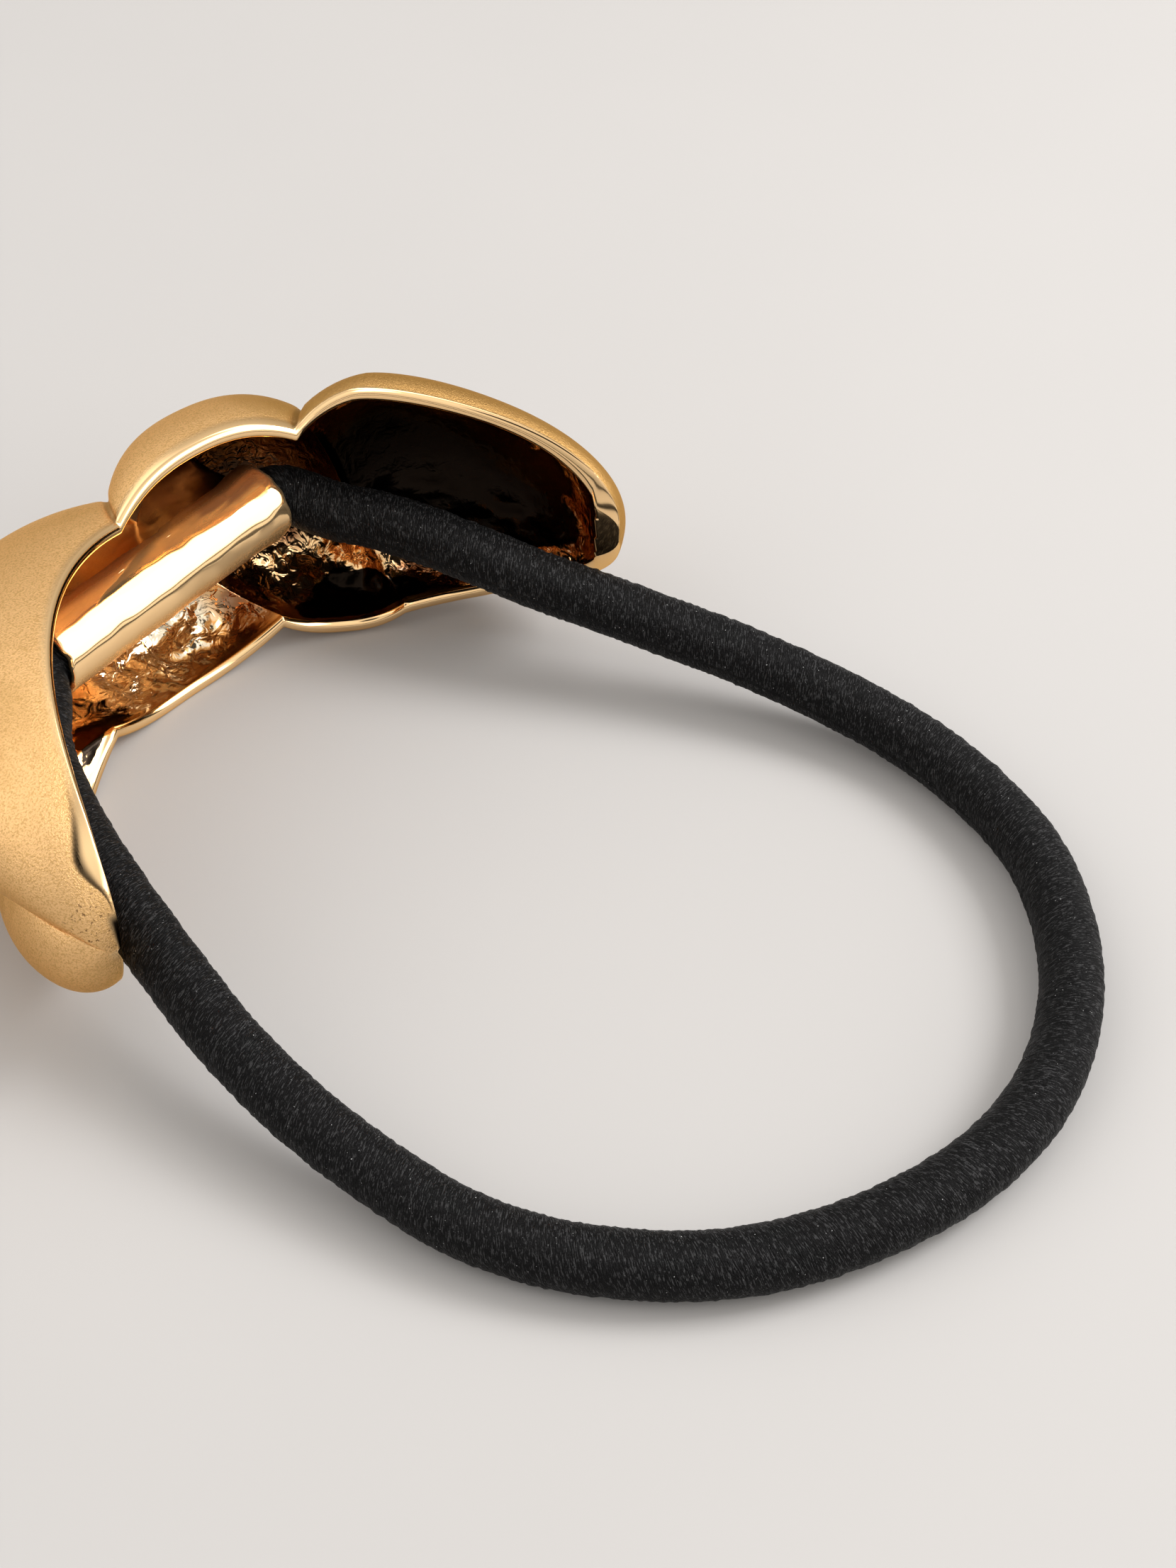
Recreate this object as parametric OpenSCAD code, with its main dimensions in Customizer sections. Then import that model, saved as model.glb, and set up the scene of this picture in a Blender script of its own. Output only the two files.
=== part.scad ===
// Hair bobble: a cast half cuff with twisted lobes, and a round elastic loop
// that runs through the cuff's sleeve. +X runs along the cuff, +Y points from
// the cuff to the far end of the loop, +Z is up, and it lies on the plane z = 0.
// The origin is under the middle of the cuff.

/* [Cuff] */
// How far a tip of the cuff is from its middle, along X
rim_reach = 23.5; // [21:0.1:25.4]
// How far the rim comes forward from its middle to the tips
rim_rise = 20.1; // [18:0.1:21]
// Turn of the rim from its middle to a tip, in degrees
rim_turn = 62.5; // [58:0.5:65]
// Depth of the solid metal at the tips
tip_depth = 1; // [0.8:0.1:2]
// Thickness of the wall
wall = 1; // [0.9:0.05:1.3]
// Fullness of the U section: 2 is an ellipse
fullness = 2.1; // [2:0.1:2.6]
// Bluntness of the cuff's end at -X
far_bluntness = 5.2; // [4.6:0.1:5.6]
// Bluntness of the cuff's end at +X
near_bluntness = 4.4; // [4:0.1:5]
// Roundness of the lobes between the creases: 2 is a parabola
lobe_round = 2.5; // [2:0.1:3]

/* [Sleeve] */
// Outer diameter of the sleeve that holds the elastic
sleeve_d = 5.2; // [5:0.1:5.6]
// Length of the sleeve
sleeve_len = 20.2; // [19.6:0.1:20.6]
// Clearance around the elastic in the sleeve's bore
bore_clearance = 0.15; // [0.15:0.05:0.3]

/* [Elastic] */
// Diameter of the elastic
elastic_d = 4; // [3.8:0.1:4]

/* [Hidden] */

gold = [0.86, 0.67, 0.40];
black = [0.05, 0.05, 0.055];

// Where the middle of the rim is, and the middle of the sleeve
rim_x = 0.45;
rim_y = -5.4;
mid_z = 9.8;
sleeve_x = -0.85;
sleeve_y = -6.2;
sleeve_z = 10;

// Three creases twist round the back of the cuff. TOP and BOTTOM are a crease's
// places at the upper and lower rim, from -1 at one tip to 1 at the other. The
// first and last rows lie past the tips and shape the outer lobes
TOP = 0;
BOTTOM = 1;
DEPTH = 2;   // from the rim to the back, at the crease
HIGH = 3;    // half of the height, at the crease
creases = [
    [-1.03, -1.36, 3.0, 7.5],
    [-0.39, -0.59, 6.2, 8.6],
    [0.08, -0.325, 5.2, 7.8],
    [1.45, 0.195, 5.0, 8.0],
    [2.22, 0.965, 5.0, 8.3]
];
// One lobe swells between each crease and the next: how far its rim stands out,
// up at the top and down at the bottom, and how far its back stands out. The
// rise peaks at PEAK of the way across the lobe, with the roundness ROUND
OUT = 0;
UP = 1;
DOWN = 2;
BACK = 3;
PEAK = 4;
ROUND = 5;
lobes = [
    [2.2, 1.5, 0.4, 2.6, 0.8, 1.4],
    [0.0, 1.8, 1.3, 3.6, 0.5, 2.5],
    [-0.4, 2.6, 1.9, 5.2, 0.5, 2.5],
    [0.0, 1.3, 1.5, 1.7, 0.5, 2.5]
];

// The hollow ends before the tips, and the rim is rounded
hollow_reach = 0.955;
hollow_bluntness = 12;
hollow_end = 0.55;
closing = 2.6;
tip_closing = 0.15;
back_wall = 1.15;
rim_round = 0.3;

// The skin has a line of points along each crease, and stations between them:
// how many, and how they gather towards the tips
lobe_stations = [16, 12, 26, 18];
gather_first = [1.6, 1, 1, 1];
gather_last = [1, 1, 1.3, 1.6];
last_line = 0.965;
outer_steps = 22;
inner_steps = 14;

// The web joins the sleeve to the back of the cuff: its ends along X, and its
// section seen along X, from the sleeve's axis
web_from = -10.8;
web_to = 5;
web_section = [[0, 2.4], [-2, 2], [-9, 1.2], [-9, -1.6], [0, -1.4]];
web_sink = 0.5;

// The elastic's route, from the middle of the sleeve round the loop and back
route = [
    [-0.9, -6.2, 10],
    [-10.4, -6.2, 10],
    [-11.4, -6.2, 10],
    [-12.5, -5.6, 9.8],
    [-13.3, -4.2, 9.4],
    [-13.9, -2.8, 9],
    [-15.3, 0.2, 8.7],
    [-16.4, 3.8, 8.4],
    [-17.4, 7.7, 7.9],
    [-18.6, 11.4, 7.1],
    [-20.1, 15.3, 6.3],
    [-21.6, 19.2, 5.4],
    [-23.5, 24.6, 4.3],
    [-24.9, 30.1, 3.2],
    [-25.5, 35.9, 2.4],
    [-24.5, 42.3, 2.1],
    [-21.9, 48.4, 2.1],
    [-17.3, 53.7, 2.1],
    [-11.3, 57.6, 2.1],
    [-4.7, 59.5, 2.1],
    [1.4, 59.3, 2.1],
    [6.8, 57.7, 2.1],
    [11.5, 55.3, 2.1],
    [15.5, 52.2, 2.1],
    [18.6, 48.4, 2.1],
    [21, 44.1, 2.1],
    [22.6, 39, 2.3],
    [23.1, 33.3, 2.8],
    [23.1, 27.3, 3.7],
    [22.4, 21, 5],
    [21.3, 16.2, 6.1],
    [20.3, 12.4, 7],
    [18.8, 7.5, 8],
    [17.8, 4.8, 8.5],
    [16.6, 2.1, 8.9],
    [14.3, -1.7, 9.5],
    [11.7, -4.3, 9.8],
    [10.8, -5.5, 9.9],
    [9.8, -6.2, 10],
    [8.8, -6.2, 10]
];
rings_between = 2;
tube_sides = 10;

rim_wide = rim_reach / sin(rim_turn);
rim_long = rim_rise / (1 - cos(rim_turn));
bore_d = elastic_d + 2 * bore_clearance;

// A power that keeps the sign, and a value between two others
function spow(x, k) = sign(x) * pow(abs(x), k);
function between(a, b, w) = a + (b - a) * w;

// How full the cuff is at a place t along the rim: 1 in its middle and 0 at its
// tips. The hollow closes in the same way before the tips
function swell(t) =
    pow(max(1 - pow(abs(t), t < 0 ? far_bluntness : near_bluntness), 0), 1 / closing);
function hollow(t) =
    pow(max(1 - pow(abs(t / hollow_reach), hollow_bluntness), 0), 1 / closing);

// The rim seen from above, and the way outwards from it
function rim_point(t) =
    [rim_x + rim_wide * sin(rim_turn * t),
     rim_y + rim_long * (1 - cos(rim_turn * t))];
function outward(t) =
    let (dx = rim_wide * cos(rim_turn * t), dy = rim_long * sin(rim_turn * t))
    [dy, -dx] / norm([dx, dy]);

// Where crease k lies at the height v, from -1 at the lower rim to 1 at the
// upper rim, and which lobe the place t is on
function crease_at(k, v) = between(creases[k][BOTTOM], creases[k][TOP], (v + 1) / 2);
function lobe_at(t, v, k = 0) =
    k == len(lobes) - 1 || t < crease_at(k + 1, v) ? k : lobe_at(t, v, k + 1);

// A point of the U section at the place t and the height v. The depth and the
// height lose a part for the wall and are scaled by what the hollow keeps
function section_point(t, v, depth_less, depth_keep, high_less, high_keep, lift) =
    let (
        k = lobe_at(t, v),
        w = (t - crease_at(k, v)) / (crease_at(k + 1, v) - crease_at(k, v)),
        ease = w * w * (3 - 2 * w),
        full = swell(t),
        depth = between(tip_depth, between(creases[k][DEPTH], creases[k + 1][DEPTH], ease), full),
        high = between(creases[k][HIGH], creases[k + 1][HIGH], ease) * full,
        lobe = lobes[k] * full * lift,
        push = 1 - pow(abs(2 * w - 1), lobe_round),
        skewed = pow(w, ln(0.5) / ln(lobes[k][PEAK])),
        rise = 1 - pow(abs(2 * skewed - 1), lobes[k][ROUND]),
        c = spow(cos(90 * v), 2 / fullness),
        s = spow(sin(90 * v), 2 / fullness),
        out = (depth * pow(full, tip_closing) - depth_less) * depth_keep * c
            + between(lobe[OUT], lobe[BACK], cos(90 * v)) * push,
        p = rim_point(t) + outward(t) * out
    )
    [p[0], p[1], mid_z + ((high - high_less * full) * high_keep + lobe[v > 0 ? UP : DOWN] * rise) * s];
function outer_point(t, v, sink = 0) = section_point(t, v, sink, 1, sink, 1, 1);
function inner_point(t, v) =
    let (h = hollow(t), edge = outward(t) * rim_round * swell(t) * (1 - h))
    section_point(t, v, back_wall, h, wall, between(hollow_end, 1, h), h) - [edge[0], edge[1], 0];
// The rounded edge of the rim, between the outside and the hollow
function rim_edge(t, v) =
    let (
        middle = (outer_point(t, v) + inner_point(t, v)) / 2,
        edge = outward(t) * rim_round * swell(t) * hollow(t)
    )
    middle - [edge[0], edge[1], 0];

// The skin's lines follow the creases as far as the cuff's tip
function line_at(k, v) =
    k == 0 ? -1 : k == len(lobes) ? 1 : min(crease_at(k, v), last_line);
stations = [
    for (k = [0 : len(lobes) - 1]) for (i = [(k == 0 ? 1 : 0) : lobe_stations[k] - 1])
        [k, 1 - pow(1 - pow(i / lobe_stations[k], gather_first[k]), gather_last[k])]
];
function place(station, v) =
    between(line_at(station[0], v), line_at(station[0] + 1, v), station[1]);

// One closed ring of the shell, up the outside and down the hollow
function shell_ring(st) = concat(
    [for (i = [0 : outer_steps]) let (v = 2 * i / outer_steps - 1) outer_point(place(st, v), v)],
    [rim_edge(place(st, 1), 1)],
    [for (i = [0 : inner_steps]) let (v = 1 - 2 * i / inner_steps) inner_point(place(st, v), v)],
    [rim_edge(place(st, -1), -1)]
);
// One closed ring of the whole outer form, sunk below its surface
function form_ring(st) = [
    for (i = [0 : outer_steps]) let (v = 2 * i / outer_steps - 1) outer_point(place(st, v), v, web_sink)
];
function tip_point(t) =
    let (p = rim_point(t) + outward(t) * tip_depth / 4) [p[0], p[1], mid_z];

// Faces of a skin over rings of n points, closed at both ends by a point
function skin_faces(count, n) = concat(
    [for (j = [0 : n - 1]) [0, 1 + (j + 1) % n, 1 + j]],
    [for (i = [0 : count - 2]) for (j = [0 : n - 1]) for (half = [0, 1])
        let (a = 1 + i * n + j, b = 1 + i * n + (j + 1) % n)
        half == 0 ? [a, b, a + n] : [b, b + n, a + n]],
    [for (j = [0 : n - 1])
        let (a = 1 + (count - 1) * n)
        [a + n, a + j, a + (j + 1) % n]]
);

module skin(rings) {
    polyhedron(
        points = concat([tip_point(-1)], [for (ring = rings) for (p = ring) p], [tip_point(1)]),
        faces = skin_faces(len(rings), len(rings[0])),
        convexity = 8
    );
}

module shell() {
    skin([for (st = stations) shell_ring(st)]);
}

// A rod along the sleeve's axis
module sleeve_rod(d, length) {
    translate([sleeve_x, sleeve_y, sleeve_z])
        rotate([0, 90, 0])
            cylinder(h = length, d = d, center = true, $fn = 64);
}

module web() {
    intersection() {
        skin([for (st = stations) form_ring(st)]);
        translate([web_from, sleeve_y, sleeve_z])
            rotate([90, 0, 90])
                linear_extrude(height = web_to - web_from)
                    polygon(web_section);
    }
}

module cuff() {
    color(gold)
        difference() {
            union() {
                shell();
                web();
                sleeve_rod(sleeve_d, sleeve_len);
            }
            sleeve_rod(bore_d, sleeve_len + 1);
        }
}

// The elastic's middle line: a smooth closed curve through the route's points
function route_point(i) = route[(i + len(route)) % len(route)];
function stride(i) = norm(route_point(i + 1) - route_point(i));
function heading(i) =
    let (a = stride(i - 1), b = stride(i))
    ((route_point(i) - route_point(i - 1)) * b / a
        + (route_point(i + 1) - route_point(i)) * a / b) / (a + b);
function curve_point(i, w) =
    let (w2 = w * w, w3 = w2 * w, d = stride(i))
    route_point(i) * (2 * w3 - 3 * w2 + 1) + heading(i) * d * (w3 - 2 * w2 + w)
        + route_point(i + 1) * (3 * w2 - 2 * w3) + heading(i + 1) * d * (w3 - w2);
centres = [
    for (i = [0 : len(route) - 1]) for (j = [0 : rings_between - 1]) curve_point(i, j / rings_between)
];

function tube_ring(i) =
    let (
        n = len(centres),
        way = centres[(i + 1) % n] - centres[(i + n - 1) % n],
        along = way / norm(way),
        flat = cross(along, [0, 0, 1]),
        side = flat / norm(flat),
        up = cross(side, along)
    )
    [for (k = [0 : tube_sides - 1])
        let (a = 360 * (k + 0.5) / tube_sides)
        centres[i] + elastic_d / 2 * (cos(a) * side + sin(a) * up)];

module elastic() {
    n = len(centres);
    color(black)
        polyhedron(
            points = [for (i = [0 : n - 1]) for (p = tube_ring(i)) p],
            faces = [for (i = [0 : n - 1]) for (k = [0 : tube_sides - 1]) for (half = [0, 1])
                let (
                    a = i * tube_sides + k,
                    b = i * tube_sides + (k + 1) % tube_sides,
                    c = ((i + 1) % n) * tube_sides + k,
                    d = ((i + 1) % n) * tube_sides + (k + 1) % tube_sides
                )
                half == 0 ? [a, b, c] : [b, d, c]],
            convexity = 6
        );
}

cuff();
elastic();
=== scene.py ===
import math

import bpy
import numpy as np
from mathutils import Matrix, Vector, noise
from mathutils.bvhtree import BVHTree


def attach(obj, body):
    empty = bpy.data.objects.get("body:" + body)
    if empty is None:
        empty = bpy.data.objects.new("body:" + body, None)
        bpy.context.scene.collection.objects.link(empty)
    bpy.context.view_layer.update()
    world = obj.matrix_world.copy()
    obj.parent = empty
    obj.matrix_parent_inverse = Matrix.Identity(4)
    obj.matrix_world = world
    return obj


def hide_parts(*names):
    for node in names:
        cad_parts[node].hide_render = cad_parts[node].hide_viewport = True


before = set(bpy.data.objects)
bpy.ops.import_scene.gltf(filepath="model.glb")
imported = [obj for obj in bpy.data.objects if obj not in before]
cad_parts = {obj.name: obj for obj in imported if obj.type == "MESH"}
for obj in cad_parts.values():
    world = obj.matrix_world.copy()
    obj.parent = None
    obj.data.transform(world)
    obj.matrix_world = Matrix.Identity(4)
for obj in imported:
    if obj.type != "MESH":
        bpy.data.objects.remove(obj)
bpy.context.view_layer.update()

mm = 0.001
tiny = 1e-9
scene = bpy.context.scene


camera = {
    "place": (0.10075, 0.1089, 0.1407),
    "look": (-0.5595, -0.4378, -0.7038),
    "lens": 70.33,
    "sensor": 36,
    "nearest": 0.005,
}


def makeCamera(c):
    data = bpy.data.cameras.new("photoCamera")
    data.lens = c["lens"]
    data.sensor_width = c["sensor"]
    data.clip_start = c["nearest"]
    obj = bpy.data.objects.new("photoCamera", data)
    scene.collection.objects.link(obj)
    back = -Vector(c["look"]).normalized()
    right = Vector((0, 0, 1)).cross(back).normalized()
    up = back.cross(right)
    turn = Matrix((right, up, back)).transposed().to_4x4()
    obj.matrix_world = Matrix.Translation(c["place"]) @ turn
    scene.camera = obj


makeCamera(camera)
scene.view_settings.view_transform = "Standard"
print("camera set")


def setSocket(tree, socket, value):
    # the value is another node's output, or plain
    if isinstance(value, bpy.types.NodeSocket):
        tree.links.new(value, socket)
    else:
        socket.default_value = value


def addNode(tree, kind, values=None, **props):
    node = tree.nodes.new(kind)
    for key, value in props.items():
        setattr(node, key, value)
    for key, value in (values or {}).items():
        setSocket(tree, node.inputs[key], value)
    return node


def mathNode(tree, operation, a, b=0.0, c=0.0):
    return addNode(tree, "ShaderNodeMath", {0: a, 1: b, 2: c}, operation=operation).outputs[0]


def product(tree, *values):
    total = values[0]
    for value in values[1:]:
        total = mathNode(tree, "MULTIPLY", total, value)
    return total


def mixColor(tree, factor, a, b):
    return addNode(tree, "ShaderNodeMix", {"Factor": factor, 6: a, 7: b}, data_type="RGBA").outputs[2]


def mixValue(tree, factor, a, b):
    return addNode(tree, "ShaderNodeMix", {"Factor": factor, 2: a, 3: b}, data_type="FLOAT").outputs[0]


def ramp(tree, value, low, high, atLow=0.0, atHigh=1.0):
    values = {"Value": value, "From Min": low, "From Max": high, "To Min": atLow, "To Max": atHigh}
    return addNode(tree, "ShaderNodeMapRange", values, interpolation_type="SMOOTHSTEP").outputs[0]


def attribute(tree, name):
    return addNode(tree, "ShaderNodeAttribute", attribute_name=name).outputs["Fac"]


def placeInMm(tree):
    values = {0: addNode(tree, "ShaderNodeTexCoord").outputs["Object"], 1: (1 / mm,) * 3}
    return addNode(tree, "ShaderNodeVectorMath", values, operation="MULTIPLY").outputs[0]


def noiseNode(tree, vector, scale, detail, rough, distortion=0.0):
    values = {"Vector": vector, "Scale": scale, "Detail": detail, "Roughness": rough}
    return addNode(tree, "ShaderNodeTexNoise", {**values, "Distortion": distortion}).outputs["Fac"]


def bumpNode(tree, high, height, **under):
    # high is in mm
    values = {"Strength": 1.0, "Distance": high * mm, "Height": height, **under}
    return addNode(tree, "ShaderNodeBump", values).outputs["Normal"]


def newGroup(name, inputs, outputs):
    group = bpy.data.node_groups.new(name, "ShaderNodeTree")
    for title, value in inputs.items():
        socket = group.interface.new_socket(name=title, in_out="INPUT", socket_type="NodeSocketFloat")
        socket.default_value = value
    for title, kind in outputs.items():
        group.interface.new_socket(name=title, in_out="OUTPUT", socket_type=kind)
    return group, group.nodes.new("NodeGroupInput").outputs, group.nodes.new("NodeGroupOutput").inputs


def newMaterial(name, values):
    material = bpy.data.materials.new(name)
    material.use_nodes = True
    shader = material.node_tree.nodes["Principled BSDF"]
    for title, value in values.items():
        shader.inputs[title].default_value = value
    return material, material.node_tree, shader


def meshFrom(name, points, faces, node):
    mesh = bpy.data.meshes.new(name)
    mesh.from_pydata(np.asarray(points).tolist(), [], faces)
    mesh.update()
    mesh.shade_smooth()
    obj = bpy.data.objects.new(name, mesh)
    scene.collection.objects.link(obj)
    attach(obj, "root")
    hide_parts(node)
    return obj


def addAttribute(obj, name, values):
    layer = obj.data.attributes.new(name, "FLOAT", "POINT")
    layer.data.foreach_set("value", np.asarray(values, np.float32))


def gridFaces(rows, columns, closeRows=False):
    r = np.arange(rows if closeRows else rows - 1)[:, None]
    c = np.arange(columns)[None, :]
    nextRow, nextColumn = (r + 1) % rows, (c + 1) % columns
    corners = np.broadcast_arrays(r * columns + c, r * columns + nextColumn,
                                  nextRow * columns + nextColumn, nextRow * columns + c)
    return np.stack(corners, -1).reshape(-1, 4).tolist()


def endFaces(rows, columns):
    # fans that close a tube at its two ends, round two points that come after the rows
    first, start = rows * columns, (rows - 1) * columns
    faces = [(first, (j + 1) % columns, j) for j in range(columns)]
    return faces + [(first + 1, start + j, start + (j + 1) % columns) for j in range(columns)]


def smoothStep(low, high, x):
    w = np.clip((x - low) / (high - low), 0, 1)
    return w * w * (3 - 2 * w)


def hill(x, rise, full, stillFull, end):
    # 0 up to rise, 1 from full to stillFull, 0 from end
    return smoothStep(rise, full, x) * smoothStep(end, stillFull, x)


def between(a, b, w):
    return a + (b - a) * w


def noiseAt(points, scale, seed, layers):
    # each layer is finer by the step and weaker by the drop
    drop, step, skew = 0.6, 2.0, 1.7
    shift = Vector((seed, skew * seed, -seed))
    return np.array([noise.fractal(Vector(p) * scale + shift, drop, step, layers) for p in points])


# In metres.
elastic = {
    "diameter": 0.004,
    "skinShare": 0.985,
    "route": [
        (-0.0009, -0.0062, 0.0100), (-0.0104, -0.0062, 0.0100), (-0.0114, -0.0062, 0.0100),
        (-0.0125, -0.0056, 0.0098), (-0.0133, -0.0042, 0.0094), (-0.0139, -0.0028, 0.0090),
        (-0.0153, 0.0002, 0.0087), (-0.0164, 0.0038, 0.0084), (-0.0174, 0.0077, 0.0079),
        (-0.0186, 0.0114, 0.0071), (-0.0201, 0.0153, 0.0063), (-0.0216, 0.0192, 0.0054),
        (-0.0235, 0.0246, 0.0043), (-0.0249, 0.0301, 0.0032), (-0.0255, 0.0359, 0.0024),
        (-0.0245, 0.0423, 0.0021), (-0.0219, 0.0484, 0.0021), (-0.0173, 0.0537, 0.0021),
        (-0.0113, 0.0576, 0.0021), (-0.0047, 0.0595, 0.0021), (0.0014, 0.0593, 0.0021),
        (0.0068, 0.0577, 0.0021), (0.0115, 0.0553, 0.0021), (0.0155, 0.0522, 0.0021),
        (0.0186, 0.0484, 0.0021), (0.0210, 0.0441, 0.0021), (0.0226, 0.0390, 0.0023),
        (0.0231, 0.0333, 0.0028), (0.0231, 0.0273, 0.0037), (0.0224, 0.0210, 0.0050),
        (0.0213, 0.0162, 0.0061), (0.0203, 0.0124, 0.0070), (0.0188, 0.0075, 0.0080),
        (0.0178, 0.0048, 0.0085), (0.0166, 0.0021, 0.0089), (0.0143, -0.0017, 0.0095),
        (0.0117, -0.0043, 0.0098), (0.0108, -0.0055, 0.0099), (0.0098, -0.0062, 0.0100),
        (0.0088, -0.0062, 0.0100),
    ],
    "step": 0.05,
    "exit": (-0.01095, -0.0062, 0.0100),
    "rings": 1500,
    "sides": 56,
    "pathEvery": 6,
    # a height, a scale, and a seed and number of layers of noise
    "lumps": 0.000015,
    "lumpScale": 900,
    "lumpNoise": (3.1, 2),
    "threads": 0.00008,
    "threadScale": (3.4, 1.2),
    "threadTurn": 0.5,
    "threadNoise": (6.0, 1),
}


def routeLine(points, step):
    # a smooth closed line through the route's points, cut open inside the sleeve
    p = np.array(points)
    n = len(p)
    stride = np.linalg.norm(np.roll(p, -1, 0) - p, axis=1)
    a, b = np.roll(stride, 1)[:, None], stride[:, None]
    heading = ((p - np.roll(p, 1, 0)) * b / a + (np.roll(p, -1, 0) - p) * a / b) / (a + b)
    line = []
    for i in range(n):
        j = (i + 1) % n
        for w in np.arange(0, 1, step):
            line.append(p[i] * (2 * w**3 - 3 * w**2 + 1) + heading[i] * stride[i] * (w**3 - 2 * w**2 + w)
                        + p[j] * (3 * w**2 - 2 * w**3) + heading[j] * stride[i] * (w**3 - w**2))
    line = np.array(line)
    along = np.concatenate([[0], np.cumsum(np.linalg.norm(np.diff(line, axis=0), axis=1))])
    return line, along


def makeElastic(e):
    line, along = routeLine(e["route"], e["step"])
    stations = np.linspace(0, along[-1], e["rings"])
    centres = np.stack([np.interp(stations, along, line[:, k]) for k in range(3)], 1)
    way = np.gradient(centres, axis=0)
    way /= np.linalg.norm(way, axis=1)[:, None]
    side = np.cross(way, (0, 0, 1))
    side /= np.linalg.norm(side, axis=1)[:, None]
    up = np.cross(side, way)
    angle = np.linspace(0, 2 * math.pi, e["sides"], endpoint=False)
    cosine, sine = np.cos(angle), np.sin(angle)
    radial = cosine[None, :, None] * side[:, None, :] + sine[None, :, None] * up[:, None, :]
    radius = e["diameter"] / 2 * e["skinShare"]
    skin = (centres[:, None, :] + radius * radial).reshape(-1, 3)
    lumps = noiseAt(skin * e["lumpScale"], 1.0, *e["lumpNoise"]).reshape(e["rings"], -1)

    # the winding stands out in short uneven turns
    alongScale, aroundScale = e["threadScale"]
    turn = stations[:, None] / mm * alongScale + e["threadTurn"] * angle[None, :]
    flat = np.stack(np.broadcast_arrays(turn, aroundScale * cosine, aroundScale * sine), -1)
    winding = noiseAt(flat.reshape(-1, 3), 1.0, *e["threadNoise"]).reshape(e["rings"], -1)
    radii = radius + e["lumps"] * lumps + e["threads"] * winding
    points = (centres[:, None, :] + radii[:, :, None] * radial).reshape(-1, 3)
    points = np.vstack([points, centres[:1], centres[-1:]])
    faces = gridFaces(e["rings"], e["sides"]) + endFaces(e["rings"], e["sides"])
    obj = meshFrom("elastic_loop", points, faces, "elastic")

    # places along and around the elastic in mm, for the thread
    addAttribute(obj, "run", np.append(np.repeat(stations / mm, e["sides"]), [0, stations[-1] / mm]))
    addAttribute(obj, "around", np.append(np.tile(angle * radius / mm, e["rings"]), [0, 0]))
    print("elastic made,", round(float(along[-1]), 4), "m long")
    return obj


elasticLoop = makeElastic(elastic)


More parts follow.
